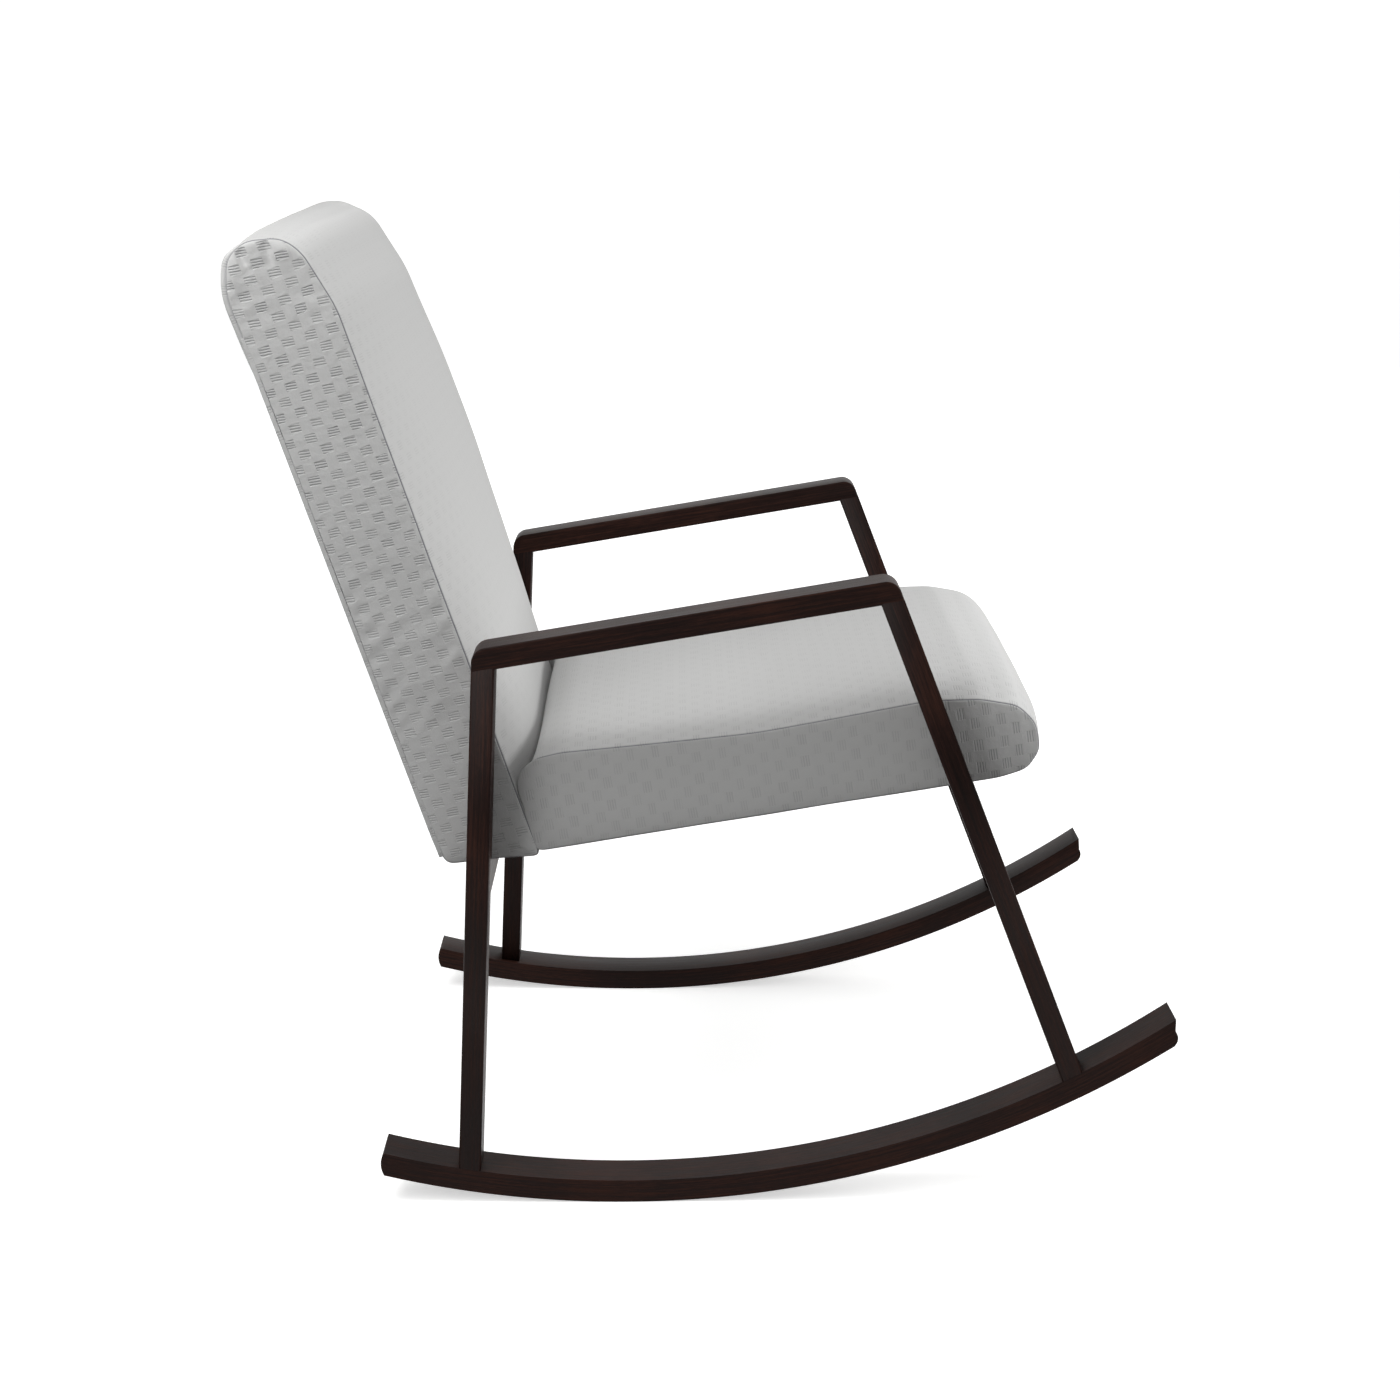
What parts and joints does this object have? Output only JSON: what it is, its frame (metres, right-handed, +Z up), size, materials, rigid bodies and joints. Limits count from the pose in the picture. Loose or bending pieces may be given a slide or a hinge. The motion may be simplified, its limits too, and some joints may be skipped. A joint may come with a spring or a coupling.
{
  "type": "rocking chair",
  "caption": "Upholstered rocking chair with a slab back, a bull-nosed seat and two open dark wood side frames on curved runners.",
  "frame": {"origin": "on the floor, under the middle of the chair's length and width, as it rests empty", "axes": "+X the way the sitter faces, +Y the sitter's left, +Z up"},
  "size_m": [0.9197, 0.62, 0.9537],
  "materials": {
    "dark_wood": "dark espresso stain, satin lacquer",
    "dowel_wood": "plain beech",
    "frame_timber": "unfinished sawn timber",
    "upholstery_fabric": "light grey jacquard with small blocks of dashes",
    "foam": "open-cell upholstery foam",
    "webbing": "elastic upholstery webbing",
    "dust_cloth": "thin black non-woven cloth",
    "bolt_steel": "zinc plated",
    "insert_brass": "turned brass",
    "spacer_plastic": "moulded black nylon"
  },
  "bodies": {
    "root": {"armrest_left": "dark_wood", "armrest_right": "dark_wood", "back_bottom_rail": "frame_timber", "back_cover": "upholstery_fabric", "back_foam": "foam", "back_rear_panel": "upholstery_fabric", "back_stile_left": "frame_timber", "back_stile_right": "frame_timber", "back_strap_1": "webbing", "back_strap_2": "webbing", "back_strap_3": "webbing", "back_strap_4": "webbing", "back_top_rail": "frame_timber", "cross_rail_dowel_left": "dowel_wood", "cross_rail_dowel_right": "dowel_wood", "front_arm_dowel_left": "dowel_wood", "front_arm_dowel_right": "dowel_wood", "front_foot_dowel_left": "dowel_wood", "front_foot_dowel_right": "dowel_wood", "front_insert_left": "insert_brass", "front_insert_right": "insert_brass", "front_leg_bolt_left": "bolt_steel", "front_leg_bolt_right": "bolt_steel", "front_leg_left": "dark_wood", "front_leg_right": "dark_wood", "front_spacer_left": "spacer_plastic", "front_spacer_right": "spacer_plastic", "rear_arm_dowel_left": "dowel_wood", "rear_arm_dowel_right": "dowel_wood", "rear_cross_rail": "dark_wood", "rear_foot_dowel_left": "dowel_wood", "rear_foot_dowel_right": "dowel_wood", "rear_insert_left": "insert_brass", "rear_insert_right": "insert_brass", "rear_leg_bolt_left": "bolt_steel", "rear_leg_bolt_right": "bolt_steel", "rear_leg_left": "dark_wood", "rear_leg_right": "dark_wood", "rear_spacer_left": "spacer_plastic", "rear_spacer_right": "spacer_plastic", "runner_left": "dark_wood", "runner_right": "dark_wood", "seat_cover": "upholstery_fabric", "seat_dust_cover": "dust_cloth", "seat_foam": "foam", "seat_front_rail": "frame_timber", "seat_rear_rail": "frame_timber", "seat_side_rail_left": "frame_timber", "seat_side_rail_right": "frame_timber", "seat_strap_1": "webbing", "seat_strap_2": "webbing", "seat_strap_3": "webbing", "seat_strap_4": "webbing"}
  },
  "joints": []
}
